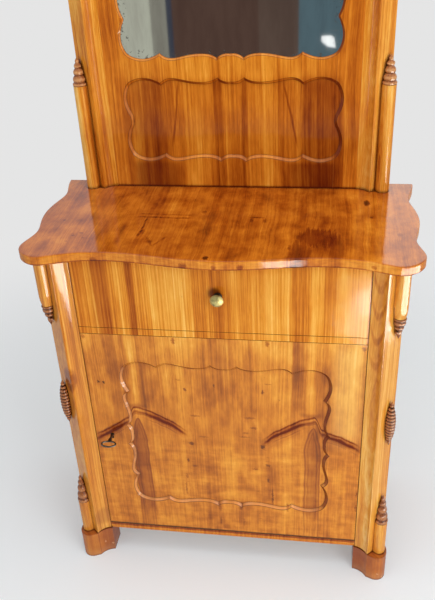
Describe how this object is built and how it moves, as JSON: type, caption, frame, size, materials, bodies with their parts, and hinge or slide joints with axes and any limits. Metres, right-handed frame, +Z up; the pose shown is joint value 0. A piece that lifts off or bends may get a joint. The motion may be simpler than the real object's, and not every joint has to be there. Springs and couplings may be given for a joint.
{
  "type": "chiffonier",
  "caption": "Tall pier chiffonier: hinged cupboard door under a drawer, serpentine top, framed mirror upstand with crest, canted corners with split turnings.",
  "frame": {"origin": "on the floor under the middle of the table top's width and depth", "axes": "+Z up; the door, the drawer and the mirror face -Y; +X to the right of someone facing them"},
  "size_m": [0.792, 0.384, 1.99],
  "materials": {
    "cherry_case": "glossy shellac on cherry veneer",
    "cherry_top": "glossy shellac on cherry veneer",
    "cherry_front": "glossy shellac on figured cherry veneer",
    "cherry_turned": "shellac on dark stained turnings",
    "pine": "aged, unfinished",
    "beech": "plain",
    "brass": "worn",
    "iron": "dull forged iron",
    "mirror": "old silvering"
  },
  "bodies": {
    "case": {"top_board": "cherry_top", "corner_post_left": "cherry_case", "corner_post_right": "cherry_case", "side_panel_left": "cherry_case", "side_panel_right": "cherry_case", "front_feet": "cherry_case", "rear_feet": "pine", "dowels": "beech", "base_rail": "cherry_case", "bottom_board": "pine", "divider_rail": "cherry_case", "drawer_rear_rail": "pine", "drawer_runners": "pine", "dust_board": "pine", "drawer_guides": "pine", "shelf": "pine", "shelf_cleats": "pine", "stop_blocks": "pine", "back_boards": "pine", "half_columns": "cherry_case", "finials_and_drops": "cherry_turned", "split_spindles": "cherry_turned", "lock_striker": "iron", "hinge_case_plates": "iron", "hinge_pins": "iron", "hinge_case_screws": "iron", "upper_post_left": "cherry_case", "upper_post_right": "cherry_case", "frame_stiles": "cherry_front", "frame_bottom_rail": "cherry_front", "frame_middle_rail": "cherry_front", "frame_top_rail": "cherry_front", "mirror_glass": "mirror", "mirror_backing": "pine", "field_board": "cherry_front", "upper_back": "pine", "upper_half_columns": "cherry_case", "upper_finials_and_drops": "cherry_turned", "upper_split_spindles": "cherry_turned", "cornice_moulding": "cherry_case", "cornice_board": "cherry_case", "crest_board": "cherry_case", "crest_rosette": "cherry_turned"},
    "door": {"door_core": "cherry_front", "door_overlay": "cherry_front", "hinge_door_plates": "iron", "door_screws": "iron", "lock_case": "iron", "lock_cover": "iron", "lock_spring": "iron", "keyhole_liner": "brass"},
    "drawer": {"drawer_front": "cherry_front", "drawer_sides": "pine", "drawer_back": "pine", "drawer_bottom": "pine", "drawer_knob": "brass", "knob_screw": "iron"},
    "key": {"key": "iron"},
    "bolt": {"lock_bolt": "iron"}
  },
  "joints": [
    {"name": "drawer_slide", "type": "slide", "parent": "case", "child": "drawer", "axis": [0, -1, 0], "range_m": [0, 0.24]},
    {"name": "door_hinge", "type": "hinge", "parent": "case", "child": "door", "pos_m": [0.28975, -0.1415, 0.376], "axis": [0, 0, 1], "range_deg": [0, 125]},
    {"name": "key_turn", "type": "hinge", "parent": "door", "child": "key", "pos_m": [-0.262, -0.1455, 0.383], "axis": [0, -1, 0], "range_deg": [0, 180]},
    {"name": "bolt_throw", "type": "slide", "parent": "door", "child": "bolt", "axis": [-1, 0, 0], "range_m": [0, 0.008]}
  ],
  "couplings": [
    {"joint": "bolt_throw", "follows": "key_turn", "m_per_rad": 0.002546}
  ]
}
